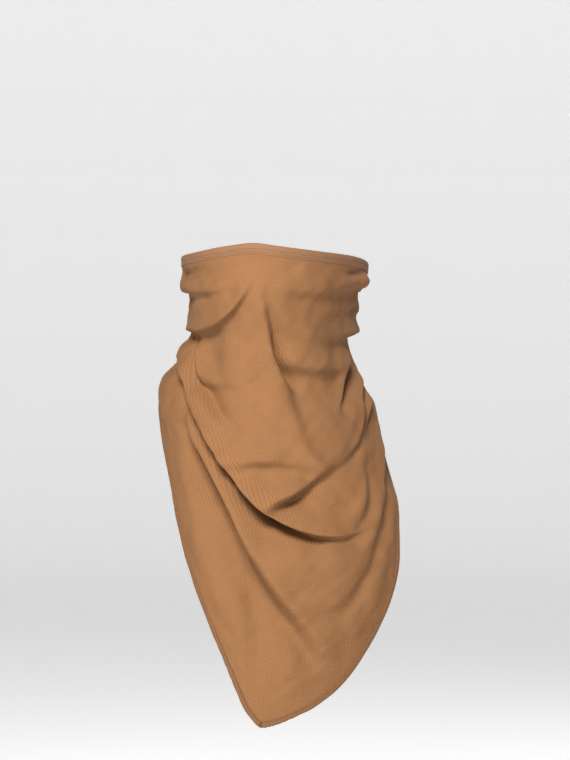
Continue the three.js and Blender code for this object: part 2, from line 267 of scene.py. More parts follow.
# Soft dents and swells: name, height of the swell, its half width, its line.
DENTS = (
    ("lower_left_groove", -4.6, 8.0, (
        (-40, -232, 0), (-31, -246, 0.7), (-24, -258, 1), (-17, -271, 1), (-13, -288, 1),
        (-11, -306, 0.6), (-11, -322, 0))),
    ("left_panel_swell", 3.0, 11.0, (
        (-80, -108, 0), (-77, -140, 0.8), (-71, -172, 1), (-62, -205, 1), (-52, -235, 0.7),
        (-42, -265, 0))),
    ("centre_panel_swell", 4.4, 14.0, (
        (-24, -40, 0), (-27, -70, 0.8), (-24, -100, 1), (-12, -126, 0.8), (2, -140, 0))),
    ("left_notch", -4.0, 3.4, (
        (-72, -11.5, 1), (-66, -11, 0.9), (-58, -9.5, 0.4), (-48, -8, 0))),
    ("left_bulge", 3.0, 5.0, (
        (-72, -19.5, 1), (-66, -19, 0.9), (-60, -18.5, 0.5), (-50, -18, 0))),
    ("left_low_bulge", 1.0, 4.6, (
        (-70, -50.5, 1), (-62, -50, 0.9), (-56, -48.5, 0.4), (-48, -46, 0))),
    ("ear_pit", -6.4, 3.4, (
        (52, -12, 0), (59, -11, 0.7), (64, -9, 1), (68, -7.5, 0.6))),
    ("ear_swell", 3.4, 5.0, (
        (58, -18, 0), (66, -16, 0.8), (72, -13, 1))),
    ("left_jaw_dent", -2.6, 9.0, (
        (-58, -66, 0), (-50, -71, 1), (-40, -78, 0.7), (-34, -86, 0))),
    ("under_cheek", -3.0, 11.0, (
        (6, -92, 0), (16, -100, 0.8), (30, -105, 1), (46, -105, 1), (58, -99, 0.5))),
    ("cheek_lobe", 3.0, 14.0, (
        (16, -40, 0), (24, -56, 1), (34, -68, 1), (46, -76, 0))),
    ("cross_pull", -1.4, 7.0, (
        (-44, -92, 0), (-26, -104, 0.8), (-8, -118, 0.9), (10, -128, 0.7), (28, -136, 0))),
    ("dimple", -3.0, 3.6, (
        (25, -160, 0), (23, -166, 0.9), (20, -173, 0.2))),
    ("lobe_corner", 2.6, 5.0, (
        (26, -150, 0), (33, -157, 1), (38, -161, 0.6))),
    ("chest_streak", -1.8, 6.0, (
        (-30, -196, 0), (-22, -222, 0.8), (-8, -248, 1), (2, -268, 0.8), (8, -292, 0))),
    ("low_fan", 1.6, 5.0, (
        (-4, -262, 0), (10, -284, 0.9), (15, -304, 0.9), (14, -322, 0))),
    ("belly_swell", 6.0, 18.0, (
        (-12, -222, 0), (14, -229, 1), (38, -232, 1), (56, -226, 0.6), (70, -218, 0))),
    ("right_edge_swell", 2.4, 9.0, (
        (92, -170, 0), (92, -200, 1), (86, -230, 1), (74, -256, 1), (56, -280, 0.8), (34, -296, 0))),
    ("tip_swell", 2.0, 11.0, (
        (22, -286, 0), (14, -306, 1), (6, -328, 0.9), (2, -344, 0.3))),
    ("pressed_crease", -0.4, 1.8, (
        (-17, -4, 0.2), (-15, -16, 0.9), (-13, -32, 0.9), (-12, -50, 0.5), (-11, -66, 0))),
)

# Folds that go on round the neck: as FOLDS, but their lines are (angle, height, strength).
SIDE_FOLDS = (
    ("nape_fold_upper", 4.0, 3.0, 8, 8, 0.0, 0.6, 4.0, (
        (88, -24, 0), (104, -22, 0.9), (130, -26, 1), (165, -33, 1), (200, -35, 1), (232, -31, 1),
        (254, -28, 0.9), (272, -26, 0))),
    ("nape_fold_lower", 4.6, 3.4, 9, 9, 0.5, 0.8, 4.0, (
        (84, -62, 0), (100, -60, 0.9), (128, -58, 1), (160, -62, 1), (196, -66, 1), (228, -64, 1),
        (252, -60, 1), (268, -57, 1), (282, -56, 0))),
    ("nape_fold_middle", 2.6, 2.0, 6, 7, 0.0, 0.4, 4.0, (
        (98, -42, 0), (112, -43, 0.8), (134, -46, 1), (158, -46, 0.2), (176, -48, 0.7),
        (206, -50, 1), (230, -46, 0.6), (246, -42, 0))),
    ("left_shoulder_roll", 4.4, 3.6, 9, 9, 1.0, 0.8, 4.0, (
        (72, -150, 0), (84, -132, 0.8), (98, -112, 1), (114, -94, 1), (134, -82, 0.8),
        (158, -78, 0.3), (172, -77, 0))),
    ("left_flare_roll", 3.6, 3.0, 9, 10, 0.0, 0.6, 4.2, (
        (78, -196, 0), (86, -176, 0.8), (96, -152, 1), (106, -128, 0.9), (118, -108, 0.5),
        (126, -100, 0))),
    ("right_shoulder_roll", 3.6, 3.0, 8, 8, 0.5, 0.6, 4.0, (
        (196, -80, 0), (214, -80, 0.6), (236, -78, 1), (254, -74, 1), (268, -70, 0.6),
        (276, -68, 0))),
)


# ---------- curves ----------


def smooth_rows(rows, at):
    """Smooth values of a table's columns at each place, where its first column rises."""
    rows = np.array(rows, float)
    place, value = rows[:, 0], rows[:, 1:]
    slope = np.empty_like(value)
    slope[1:-1] = (value[2:] - value[:-2]) / (place[2:] - place[:-2])[:, None]
    slope[0] = (value[1] - value[0]) / (place[1] - place[0])
    slope[-1] = (value[-1] - value[-2]) / (place[-1] - place[-2])
    at = np.asarray(at, float)
    k = np.clip(np.searchsorted(place, at) - 1, 0, len(place) - 2)
    span = (place[k + 1] - place[k])[..., None]
    t = np.clip((at - place[k])[..., None] / span, 0, 1)
    rise = value[k + 1] - value[k]
    low, high = slope[k] * span, slope[k + 1] * span
    return value[k] + t * (low + t * (3 * rise - 2 * low - high + t * (low + high - 2 * rise)))


def lengths_along(points):
    """Length of a line of points from its start to each of them."""
    return np.concatenate([[0], np.cumsum(np.linalg.norm(np.diff(points, axis=0), axis=1))])


def smooth_line(points, count):
    """A line of given points as count smooth ones, evenly spread by length."""
    points = np.array(points, float)
    along = lengths_along(points[:, :2])
    even = np.linspace(0, along[-1], count)
    return smooth_rows(np.column_stack([along, points]), even)


def smooth_step(low, high, at):
    """0 below low, 1 above high and a smooth rise between them."""
    t = np.clip((at - low) / (high - low), 0, 1)
    return t * t * (3 - 2 * t)


def unit(vectors):
    """The same directions with a length of 1."""
    return vectors / np.maximum(np.linalg.norm(vectors, axis=-1, keepdims=True), 1e-12)


# ---------- the surface round the wearer ----------

SECTION_ROWS = tuple(
    (height, HALF_WIDTH + right, HALF_WIDTH + left, NOSE_REACH + front, NAPE_REACH + back)
    for height, right, left, front, back in reversed(SECTIONS)
)


def wrap(angle, height):
    """Points round the wearer. Angle 0 is the nose, 90 the wearer's left ear, 180 the nape."""
    right, left, front, back = np.moveaxis(smooth_rows(SECTION_ROWS, height), -1, 0)
    side, ahead = np.sin(angle * RAD), np.cos(angle * RAD)
    width = np.where(side > 0, left, right)
    x = width * side * (1 - ROUND_FRONT * ahead)
    y = (back - front) / 2 - (back + front) / 2 * ahead
    return np.stack([x, y, np.broadcast_to(height, x.shape)], -1)


def wrap_normal(angle, height):
    """The way outward, square to the surface round the wearer."""
    around = wrap(angle + 0.5, height) - wrap(angle - 0.5, height)
    down = wrap(angle, height - 0.5) - wrap(angle, height + 0.5)
    return unit(np.cross(down, around))


def band_top(angle):
    """Height of the band's upper edge: a slope up to the nose, lower over the flat of each cheek."""
    cheek = np.where(np.cos(angle * RAD) > 0, np.sin(2 * angle * RAD) ** 2, 0)
    dip = cheek * np.where(np.sin(angle * RAD) > 0, 1.6, 2.4)
    peak = 1.2 * np.exp(-(((angle - 4) / 11) ** 2))
    return -BAND_SLOPE * wrap(angle, np.zeros_like(angle))[..., 1] - dip + peak


def hem_at(angle):
    """Where each wale ends: its angle round the neck and its height at the hem."""
    turn = np.where(angle > 180, 360, 0)
    rows = smooth_rows(HEM_LINE, angle - turn)
    return rows[..., 0] + turn, rows[..., 1]


class Unrolled:
    """Distance round the wearer at each angle and height, measured from the nose."""

    angles = np.arange(-200, 301, ANGLE_STEP)
    heights = np.arange(-400, 31, HEIGHT_STEP)

    def __init__(self):
        angle, height = np.meshgrid(self.angles, self.heights, indexing="ij")
        steps = np.linalg.norm(np.diff(wrap(angle, height), axis=0), axis=-1)
        length = np.concatenate([np.zeros((1, len(self.heights))), np.cumsum(steps, axis=0)])
        nose = int(np.argmin(abs(self.angles)))
        self.length = length - length[nose]

    def arc(self, angle, height):
        """Distance round the wearer, from the nose to each point."""
        a = np.clip((angle - self.angles[0]) / ANGLE_STEP, 0, len(self.angles) - 1.001)
        h = np.clip((height - self.heights[0]) / HEIGHT_STEP, 0, len(self.heights) - 1.001)
        i, j = a.astype(int), h.astype(int)
        fa, fh = a - i, h - j
        low = self.length[i, j] * (1 - fa) + self.length[i + 1, j] * fa
        high = self.length[i, j + 1] * (1 - fa) + self.length[i + 1, j + 1] * fa
        return low * (1 - fh) + high * fh

    def from_across(self, across, height):
        """Angle on the front at which the surface lies this far across the worn turn."""
        angle = np.linspace(-115, 115, 231)
        points = wrap(angle, np.full_like(angle, height))
        turned = points[:, 0] * math.cos(WORN_TURN * RAD) + points[:, 1] * math.sin(WORN_TURN * RAD)
        first, last = int(np.argmin(turned)), int(np.argmax(turned))
        return float(np.interp(across, turned[first:last + 1], angle[first:last + 1]))


# ---------- folds ----------


def beside_line(arc, height, line):
    """Distance to a line, positive on its right, with the line's strength and right-hand direction
    and how far each point lies past its ends."""
    tangent = unit(np.gradient(line[:, :2], axis=0))
    nearest = np.empty(arc.shape, int)
    for part in np.array_split(np.arange(arc.size), 8):
        a = arc.ravel()[part, None] - line[:, 0]
        h = height.ravel()[part, None] - line[:, 1]
        nearest.ravel()[part] = np.argmin(a * a + h * h, axis=1)
    away = np.stack([arc, height], -1) - line[nearest, :2]
    right = np.stack([tangent[nearest, 1], -tangent[nearest, 0]], -1)
    side = (away * right).sum(-1)
    past = abs((away * tangent[nearest]).sum(-1))
    distance = np.sign(side) * np.hypot(side, past)
    return distance, line[nearest, 2], right, past


def line_on_body(points, angle_of, unrolled, count):
    """A line of given points as count smooth ones of (arc, height, strength)."""
    placed = [(float(unrolled.arc(np.array(angle_of(x, z)), np.array(float(z)))), z, k)
              for x, z, k in points]
    return smooth_line(placed, count)


def fold_lines(unrolled):
    """Each fold's sizes with its line. The arc goes both ways from the nose, so a side fold has two."""
    for fold in FOLDS:
        yield fold, line_on_body(fold[-1], unrolled.from_across, unrolled, 60)
    for fold in SIDE_FOLDS:
        for turn in (0, 360):
            yield fold, line_on_body(fold[-1], lambda angle, z: float(angle - turn), unrolled, 60)


def fold_cloth(angle, height, unrolled, fold_depth):
    """How far each point of the cloth moves round, up and outward for all of its folds."""
    arc = unrolled.arc(angle, height)
    around, rise, out = np.zeros_like(arc), np.zeros_like(arc), np.zeros_like(arc)
    for fold, line in fold_lines(unrolled):
        _, swell, drop, swell_reach, drop_reach, pocket, lap, edge, _ = fold
        distance, strength, right, past = beside_line(arc, height, line)
        strength = strength * np.exp(-((past / LINE_FADE) ** 2)) * fold_depth
        upper = 0.5 * (1 - np.tanh(distance / (EDGE_BLEND * edge)))
        swelling = swell * np.exp(-((distance / swell_reach) ** 2))
        dropping = drop * np.exp(-((distance / drop_reach) ** 2))
        dropping += pocket * np.exp(-((distance / edge - POCKET_PLACE) ** 2))
        out += strength * (upper * swelling - (1 - upper) * dropping)
        turned = distance / edge
        slide = -lap * strength * turned * np.exp(0.5 - 0.5 * turned * turned)
        around += slide * right[..., 0]
        rise += slide * right[..., 1]
    for _, swell, reach, points in DENTS:
        line = line_on_body(points, unrolled.from_across, unrolled, 40)
        distance, strength, _, _ = beside_line(arc, height, line)
        out += strength * swell * fold_depth * np.exp(-((distance / reach) ** 2))
    return around, rise, out


def eased(values, rounds):
    """Values on a grid that closes round its columns, evened out between neighbours."""
    for _ in range(rounds):
        values = (np.roll(values, 1, axis=0) + 2 * values + np.roll(values, -1, axis=0)) / 4
        padded = np.concatenate([values[:, :1], values, values[:, -1:]], axis=1)
        values = (padded[:, :-2] + 2 * values + padded[:, 2:]) / 4
    return values


def slack(arc, height, seed):
    """Small uneven slackness of hanging knit, the same each time for one seed."""
    chance = np.random.default_rng(seed)
    out = np.zeros_like(arc)
    for wave in np.geomspace(LONG_WAVE, SHORT_WAVE, WAVES):
        heading, phase = chance.uniform(0, math.tau), chance.uniform(0, math.tau)
        stretch = chance.uniform(0.5, 1.0)
        a = arc * math.cos(heading) + height * math.sin(heading)
        out += (wave / LONG_WAVE) ** 1.15 * np.sin(a * math.tau / wave + phase) * stretch
    return out


# ---------- the knit body ----------


class Body:
    """The worn cloth: outer and inner points and normals on one grid, above and below its cut."""

    def __init__(self, cut, drape):
        self.unrolled = Unrolled()
        self.columns, self.marks = self.spread_columns()
        hem_angle, hem_height = hem_at(self.columns)
        top = band_top(self.columns) - BAND_HEIGHT + cut.tuck
        middle = np.maximum(hem_height, CUT_HEIGHT)
        upper = self.grid(top, middle, top, hem_angle, hem_height, cut.rows_upper)
        lower = self.grid(middle, hem_height, top, hem_angle, hem_height, cut.rows_lower)
        both = [np.concatenate([a, b[:, 1:]], axis=1) for a, b in zip(upper, lower)]
        rows = upper[0].shape[1]
        draped = self.drape(both, drape)
        self.upper, self.lower = draped[:, :rows], draped[:, rows - 1:]
        self.place_cloth(both, rows)
        self.finish_layers(cut.cloth)

    def place_cloth(self, grid, rows):
        """Where each point of the cloth is on the unrolled body, for the knit's pattern."""
        angle, height = grid
        place = np.stack([self.unrolled.arc(angle, height), height], -1)
        self.upper_place, self.lower_place = place[:, :rows], place[:, rows - 1:]

    def spread_columns(self):
        """Wales round the body, with one at each corner, at the tip and where the hem meets the cut."""
        right = self.crossing(CORNER_RIGHT)
        left = self.crossing(CORNER_LEFT)
        ends = ((CORNER_RIGHT, right), (right, 0.0), (0.0, left), (left, CORNER_LEFT),
                (CORNER_LEFT, CORNER_RIGHT + 360))
        counts = (58, 64, 98, 54, 118)
        runs = [np.linspace(a, b, n, endpoint=False) for (a, b), n in zip(ends, counts)]
        starts = np.cumsum([0] + [len(run) for run in runs])
        marks = dict(zip(("corner_right", "cut_right", "tip", "cut_left", "corner_left"), starts))
        return np.concatenate(runs), marks

    @staticmethod
    def crossing(corner):
        """The wale on the corner's side at which the hem comes down to the cut."""
        high, low = corner, 0.0
        for _ in range(40):
            middle = (high + low) / 2
            if hem_at(np.array(middle))[1] > CUT_HEIGHT + 0.4:
                high = middle
            else:
                low = middle
        return low

    def grid(self, first, last, top, hem_angle, hem_height, rows):
        """Angle and height of each wale's points between two of its heights."""
        share = np.linspace(0, 1, rows + 1)
        height = first[:, None] + (last - first)[:, None] * share
        down = (height - top[:, None]) / (hem_height - top)[:, None]
        angle = self.columns[:, None] + (hem_angle - self.columns)[:, None] * down
        return angle, height

    def drape(self, grid, drape):
        """The grid's points in space, with the folds, the slackness and the pull of band and seam."""
        angle, height = grid
        around, rise, out = fold_cloth(angle, height, self.unrolled, drape.fold_depth)
        top = band_top(self.columns)[:, None] - BAND_HEIGHT
        held = smooth_step(0.0, HELD_BY_BAND, top - height)
        around, rise, out = (eased(part, 4) for part in (around, rise, out))
        arc = self.unrolled.arc(angle, height)
        loose = smooth_step(FLAT_AT_HEM, FREE_AT_HEM, height - height[:, -1:]) * drape.slack
        out = out + loose * slack(arc, height, drape.seed)
        per_degree = self.unrolled.arc(angle + 0.5, height) - self.unrolled.arc(angle - 0.5, height)
        angle = angle + held * around / per_degree
        height = height + held * rise
        seam = np.exp(-(((self.columns - 180) * NAPE_DEGREE / SEAM_GROOVE_REACH) ** 2))[:, None]
        under_band = BAND_EASE * np.exp(-(((top - height) / BAND_EASE_REACH) ** 2))
        out = out * held - SEAM_GROOVE * seam + under_band
        return wrap(angle, height) + wrap_normal(angle, height) * out[..., None]

    def finish_layers(self, cloth):
        """Normals from the whole cloth, so that the cut does not show, and the inner face."""
        both = np.concatenate([self.upper, self.lower[:, 1:]], axis=1)
        bib = self.bib_columns()
        rows = self.upper.shape[1]
        normal = self.grid_normals(both)
        alone = self.grid_normals(self.upper)
        outside = np.ones(len(self.columns), bool)
        outside[bib[1:-1]] = False
        normal[outside, :rows] = alone[outside]
        self.upper_normal, self.lower_normal = normal[:, :rows], normal[:, rows - 1:]
        self.upper_inner = self.upper - self.upper_normal * cloth
        self.lower_inner = self.lower - self.lower_normal * cloth

    def bib_columns(self):
        """The wales that go on below the cut."""
        return np.arange(self.marks["cut_right"], self.marks["cut_left"] + 1)

    @staticmethod
    def grid_normals(points):
        around = np.roll(points, -1, axis=0) - np.roll(points, 1, axis=0)
        down = np.gradient(points, axis=1)
        return unit(np.cross(down, around))

    def edge(self):
        """The cloth's lower edge all round, with the ways outward and up the cloth."""
        point, normal = self.upper[:, -1].copy(), self.upper_normal[:, -1].copy()
        bib = self.bib_columns()
        inner = bib[4:-4]
        point[bib], normal[inner] = self.lower[bib, -1], self.lower_normal[inner, -1]
        along = unit(np.roll(point, -1, axis=0) - np.roll(point, 1, axis=0))
        outward = unit(normal - along * (normal * along).sum(-1, keepdims=True))
        up = unit(np.cross(along, outward))
        up = up * np.sign(up[len(up) // 8, 2])
        for _ in range(3):
            up = unit(np.roll(up, 1, axis=0) + 2 * up + np.roll(up, -1, axis=0))
            outward = unit(np.roll(outward, 1, axis=0) + 2 * outward + np.roll(outward, -1, axis=0))
        return point, outward, up


# ---------- mesh helpers ----------


def new_mesh(name, vertices, faces, material, uv=None, normals=None):
    """A smooth mesh object. faces is an (n, 3) or (n, 4) array, or a list of them."""
    faces = [faces] if isinstance(faces, np.ndarray) else faces
    mesh = bpy.data.meshes.new(name)
    loops = np.concatenate([f.ravel() for f in faces])
    sizes = np.concatenate([np.full(len(f), f.shape[1]) for f in faces])
    mesh.vertices.add(len(vertices))
    mesh.vertices.foreach_set("co", (np.asarray(vertices) * MM).astype(np.float32).ravel())
    mesh.loops.add(len(loops))
    mesh.loops.foreach_set("vertex_index", loops.astype(np.int32))
    mesh.polygons.add(len(sizes))
    starts = np.concatenate([[0], np.cumsum(sizes)[:-1]])
    mesh.polygons.foreach_set("loop_start", starts.astype(np.int32))
    if uv is not None:
        layer = mesh.uv_layers.new(name="cloth")
        layer.data.foreach_set("uv", np.asarray(uv, np.float32)[loops].ravel())
    mesh.update(calc_edges=True)
    mesh.validate()
    mesh.polygons.foreach_set("use_smooth", np.ones(len(mesh.polygons), bool))
    if normals is not None:
        mesh.normals_split_custom_set_from_vertices(np.asarray(normals, np.float32))
    mesh.materials.append(material)
    thing = bpy.data.objects.new(name, mesh)
    bpy.context.scene.collection.objects.link(thing)
    return thing


def grid_faces(columns, rows, closed, start=0, flip=False):
    """Quads between the points of a grid, which closes on itself if closed is true."""
    i = np.arange(columns if closed else columns - 1)[:, None]
    j = np.arange(rows - 1)[None, :]
    here, there = i * rows + j, ((i + 1) % columns) * rows + j
    quads = np.stack([here, here + 1, there + 1, there], -1).reshape(-1, 4) + start
    return quads[:, ::-1] if flip else quads


def swept(frames, profile, closed):
    """A closed profile of (outward, up) pairs carried along frames of (point, outward, up)."""
    point, outward, up = frames
    profile = np.asarray(profile, float)
    if profile.ndim == 2:
        profile = np.broadcast_to(profile, (len(point),) + profile.shape)
    vertices = point[:, None] + outward[:, None] * profile[..., :1] + up[:, None] * profile[..., 1:]
    count, sides = profile.shape[:2]
    i = np.arange(count if closed else count - 1)[:, None]
    j = np.arange(sides)[None, :]
    k = (j + 1) % sides
    here, there = i * sides, ((i + 1) % count) * sides
    quads = np.stack([here + j, there + j, there + k, here + k], -1).reshape(-1, 4)
    lengths = np.linalg.norm(np.diff(point, axis=0, append=point[:1]), axis=1)
    along = np.concatenate([[0], np.cumsum(lengths)[:-1]])
    turns = np.linalg.norm(np.diff(profile[0], axis=0, append=profile[0, :1]), axis=1)
    across = np.concatenate([[0], np.cumsum(turns)[:-1]])
    uv = np.stack(np.broadcast_arrays(along[:, None], across[None, :]), -1).reshape(-1, 2)
    return vertices.reshape(-1, 3), quads, uv * MM


def rounded(profile, rounds=2):
    """A closed profile with its corners cut smooth."""
    profile = np.asarray(profile, float)
    for _ in range(rounds):
        following = np.roll(profile, -1, axis=0)
        profile = np.stack([profile * 0.75 + following * 0.25, profile * 0.25 + following * 0.75], 1)
        profile = profile.reshape(-1, 2)
    return profile


def stitch_row(points, outward, spacing, stitch, radius, closed, seed=3, slant=0.0):
    """One row of lockstitches: short bowed lengths of thread, their ends pulled into the cloth."""
    ends = np.concatenate([points, points[:1]]) if closed else points
    lifts = np.concatenate([outward, outward[:1]]) if closed else outward
    length = lengths_along(ends)
    count = max(int(round(length[-1] / spacing)), 2)
    chance = np.random.default_rng(seed)
    share = np.linspace(-0.5, 0.5, 6)
    bow = np.cos(share * math.pi) ** 0.5
    ring = np.arange(6) * math.tau / 6
    rows = []
    for n in range(count):
        middle = (n + 0.5) * length[-1] / count + chance.uniform(-0.06, 0.06) * spacing
        place = np.clip(middle + share * stitch, 0, length[-1])
        core = np.stack([np.interp(place, length, ends[:, i]) for i in range(3)], -1)
        lift = unit(np.stack([np.interp(place, length, lifts[:, i]) for i in range(3)], -1))
        run = unit(np.gradient(core, axis=0))
        side = unit(np.cross(run, lift))
        lean = slant * (1 + 0.2 * chance.uniform(-1, 1))
        core = core + side * (share[:, None] * lean) + lift * ((bow[:, None] - 0.75) * radius * 1.5)
        thick = radius * (0.55 + 0.45 * bow[:, None, None])
        circle = np.cos(ring)[:, None] * lift[:, None] + np.sin(ring)[:, None] * side[:, None]
        rows.append(((core[:, None] + circle * thick).reshape(-1, 3), THREAD_FACES))
    return joined(rows)


def joined(rows):
    """Several pairs of (vertices, faces) as one."""
    starts = np.cumsum([0] + [len(vertices) for vertices, _ in rows])
    faces = [faces + start for (_, faces), start in zip(rows, starts)]
    return np.concatenate([vertices for vertices, _ in rows]), np.concatenate(faces)


def tack_rows(middles, side, outward, width, stitch, radius):
    """A tack: one short stitch across each of a few middles."""
    across = np.linspace(-width / 2, width / 2, 5)[:, None] * side
    lifts = np.repeat(outward[None], 5, 0)
    return joined([
        stitch_row(middle + across, lifts, width, stitch, radius, False, n)
        for n, middle in enumerate(middles)
    ])


def tube_faces(count, sides):
    """Side quads of a six-sided tube, and the two quads of each of its ends."""
    i = np.arange(count - 1)[:, None]
    j = np.arange(sides)[None, :]
    k = (j + 1) % sides
    quads = np.stack([i * sides + j, (i + 1) * sides + j, (i + 1) * sides + k, i * sides + k], -1)
    last = (count - 1) * sides
    caps = np.array([[0, 1, 2, 3], [0, 3, 4, 5]])
    ends = np.concatenate([caps, caps[:, ::-1] + last])
    return np.concatenate([quads.reshape(-1, 4), ends])


THREAD_FACES = tube_faces(6, 6)


# ---------- materials ----------


def node(tree, kind, place, values=(), **settings):
    """A shader node at its place in the tree, with its settings and its sockets' values."""
    new = tree.nodes.new(kind)
    new.location = place
    for name, value in settings.items():
        setattr(new, name, value)
    for name, value in dict(values).items():
        new.inputs[name].default_value = value
    return new


def darker(colour, share):
    return tuple(channel * share for channel in colour)


def new_material(name, values):
    """A material, its node tree, and its Principled BSDF with the sockets' values."""
    material = bpy.data.materials.new(name)
    material.use_nodes = True
    shader = material.node_tree.nodes["Principled BSDF"]
    for socket, value in values.items():
        shader.inputs[socket].default_value = value
    return material, material.node_tree, shader


def knit_group():
    """Shared knit face: staggered loops on vertical wales, with yarn fuzz, uneven dye and painted shade
    in the gaps between the loops.
    """
    group = bpy.data.node_groups.get("Knit face")
    if group:
        return group
    group = bpy.data.node_groups.new("Knit face", "ShaderNodeTree")
    face = group.interface
    for name, kind, value in (
        ("Wale Pitch", "NodeSocketFloat", 0.0019),
        ("Course Pitch", "NodeSocketFloat", 0.0016),
        ("Loop Colour", "NodeSocketColor", (0.45, 0.24, 0.11, 1)),
        # painted shade: the darker colour of the recesses between the loops
        ("Painted Gap Shade", "NodeSocketColor", (0.3, 0.15, 0.06, 1)),
        ("Dye Variation", "NodeSocketFloat", 0.1),
    ):
        socket = face.new_socket(name, in_out="INPUT", socket_type=kind)
        socket.default_value = value
    for name, kind in (("Colour", "NodeSocketColor"), ("Height", "NodeSocketFloat"),
                       ("Roughness", "NodeSocketFloat")):
        face.new_socket(name, in_out="OUTPUT", socket_type=kind)
    enter = node(group, "NodeGroupInput", (-1200, 0))
    leave = node(group, "NodeGroupOutput", (900, 0))
    link = group.links.new
    cloth = node(group, "ShaderNodeUVMap", (-1200, 300), uv_map="cloth")
    split = node(group, "ShaderNodeSeparateXYZ", (-1000, 300))
    link(cloth.outputs["UV"], split.inputs[0])

    def maths(operation, place, first, second=None):
        """A Math node's output. Its first two sockets take a number or another node's output."""
        sum_node = node(group, "ShaderNodeMath", place, operation=operation)
        for i, source in enumerate((first, second)):
            if source is None:
                continue
            if isinstance(source, (int, float)):
                sum_node.inputs[i].default_value = source
            else:
                link(source, sum_node.inputs[i])
        return sum_node.outputs[0]

    wobble = node(group, "ShaderNodeTexNoise", (-1000, -100), {"Scale": 260.0, "Detail": 2.0})
    link(cloth.outputs["UV"], wobble.inputs["Vector"])
    wales = maths("DIVIDE", (-800, 300), split.outputs["X"], enter.outputs["Wale Pitch"])
    courses = maths("DIVIDE", (-800, 150), split.outputs["Y"], enter.outputs["Course Pitch"])
    uneven = maths("MULTIPLY", (-800, -100), wobble.outputs["Fac"], 0.35)
    wales = maths("ADD", (-650, 300), wales, uneven)
    across = maths("COSINE", (-350, 300), maths("MULTIPLY", (-500, 300), wales, math.tau))
    down = maths("COSINE", (-350, 150), maths("MULTIPLY", (-500, 150), courses, math.tau))
    stagger = maths("MULTIPLY", (-200, 220), across, down)
    ribs = maths("MULTIPLY", (-200, 350), across, 0.2)
    loops = maths("ADD", (-50, 300), maths("MULTIPLY", (-50, 200), stagger, 0.8), ribs)
    height = maths("MULTIPLY_ADD", (100, 300), loops, 0.5)
    height.node.inputs[2].default_value = 0.5
    fuzz = node(group, "ShaderNodeTexNoise", (-350, -250), {"Scale": 2600.0, "Detail": 3.0})
    link(cloth.outputs["UV"], fuzz.inputs["Vector"])
    fuzzy = maths("MULTIPLY", (-100, -250), fuzz.outputs["Fac"], 0.45)
    total = maths("ADD", (250, 200), height, fuzzy)
    dye = node(group, "ShaderNodeTexNoise", (-350, -500), {"Scale": 34.0, "Detail": 4.0})
    link(cloth.outputs["UV"], dye.inputs["Vector"])
    # painted shade: the loops' height mixes the darker gap colour into the low places between them
    tint = node(group, "ShaderNodeMix", (250, 0), data_type="RGBA")
    link(height, tint.inputs["Factor"])
    link(enter.outputs["Painted Gap Shade"], tint.inputs["A"])
    link(enter.outputs["Loop Colour"], tint.inputs["B"])
    shade = maths("MULTIPLY_ADD", (100, -500), dye.outputs["Fac"], enter.outputs["Dye Variation"])
    half = maths("MULTIPLY_ADD", (-50, -650), enter.outputs["Dye Variation"], -0.5)
    half.node.inputs[2].default_value = 1.0
    link(half, shade.node.inputs[2])
    dyed = node(group, "ShaderNodeVectorMath", (500, 0), operation="SCALE")
    link(tint.outputs["Result"], dyed.inputs[0])
    link(shade, dyed.inputs["Scale"])
    rough = maths("MULTIPLY_ADD", (500, -200), fuzz.outputs["Fac"], 0.16)
    rough.node.inputs[2].default_value = 0.78
    link(dyed.outputs[0], leave.inputs["Colour"])
    link(total, leave.inputs["Height"])
    link(rough, leave.inputs["Roughness"])
    return group


def knit_material(name, colour, gap_shade_share, wale, course, depth):
    """Cloth of one knit: the shared knit face with its own colour, pitches and depth, and the darker
    share of its colour that is painted as shade in its gaps.
    """
    material, tree, shader = new_material(name, {
        "Sheen Weight": 0.035,
        "Sheen Roughness": 0.45,
        "Sheen Tint": (0.9, 0.6, 0.36, 1),
        "Specular IOR Level": 0.12,
    })
    face = node(tree, "ShaderNodeGroup", (-500, 0), node_tree=knit_group())
    face.inputs["Wale Pitch"].default_value = wale * MM
    face.inputs["Course Pitch"].default_value = course * MM
    face.inputs["Loop Colour"].default_value = (*colour, 1)
    # the gaps' painted shade is a darker copy of the knit's own colour
    face.inputs["Painted Gap Shade"].default_value = (*darker(colour, gap_shade_share), 1)
    face.inputs["Dye Variation"].default_value = 0.16
    bump = node(tree, "ShaderNodeBump", (-250, -200), {"Strength": 1.0, "Distance": depth * MM})
    tree.links.new(face.outputs["Colour"], shader.inputs["Base Color"])
    tree.links.new(face.outputs["Roughness"], shader.inputs["Roughness"])
    tree.links.new(face.outputs["Height"], bump.inputs["Height"])
    tree.links.new(bump.outputs["Normal"], shader.inputs["Normal"])
    return material


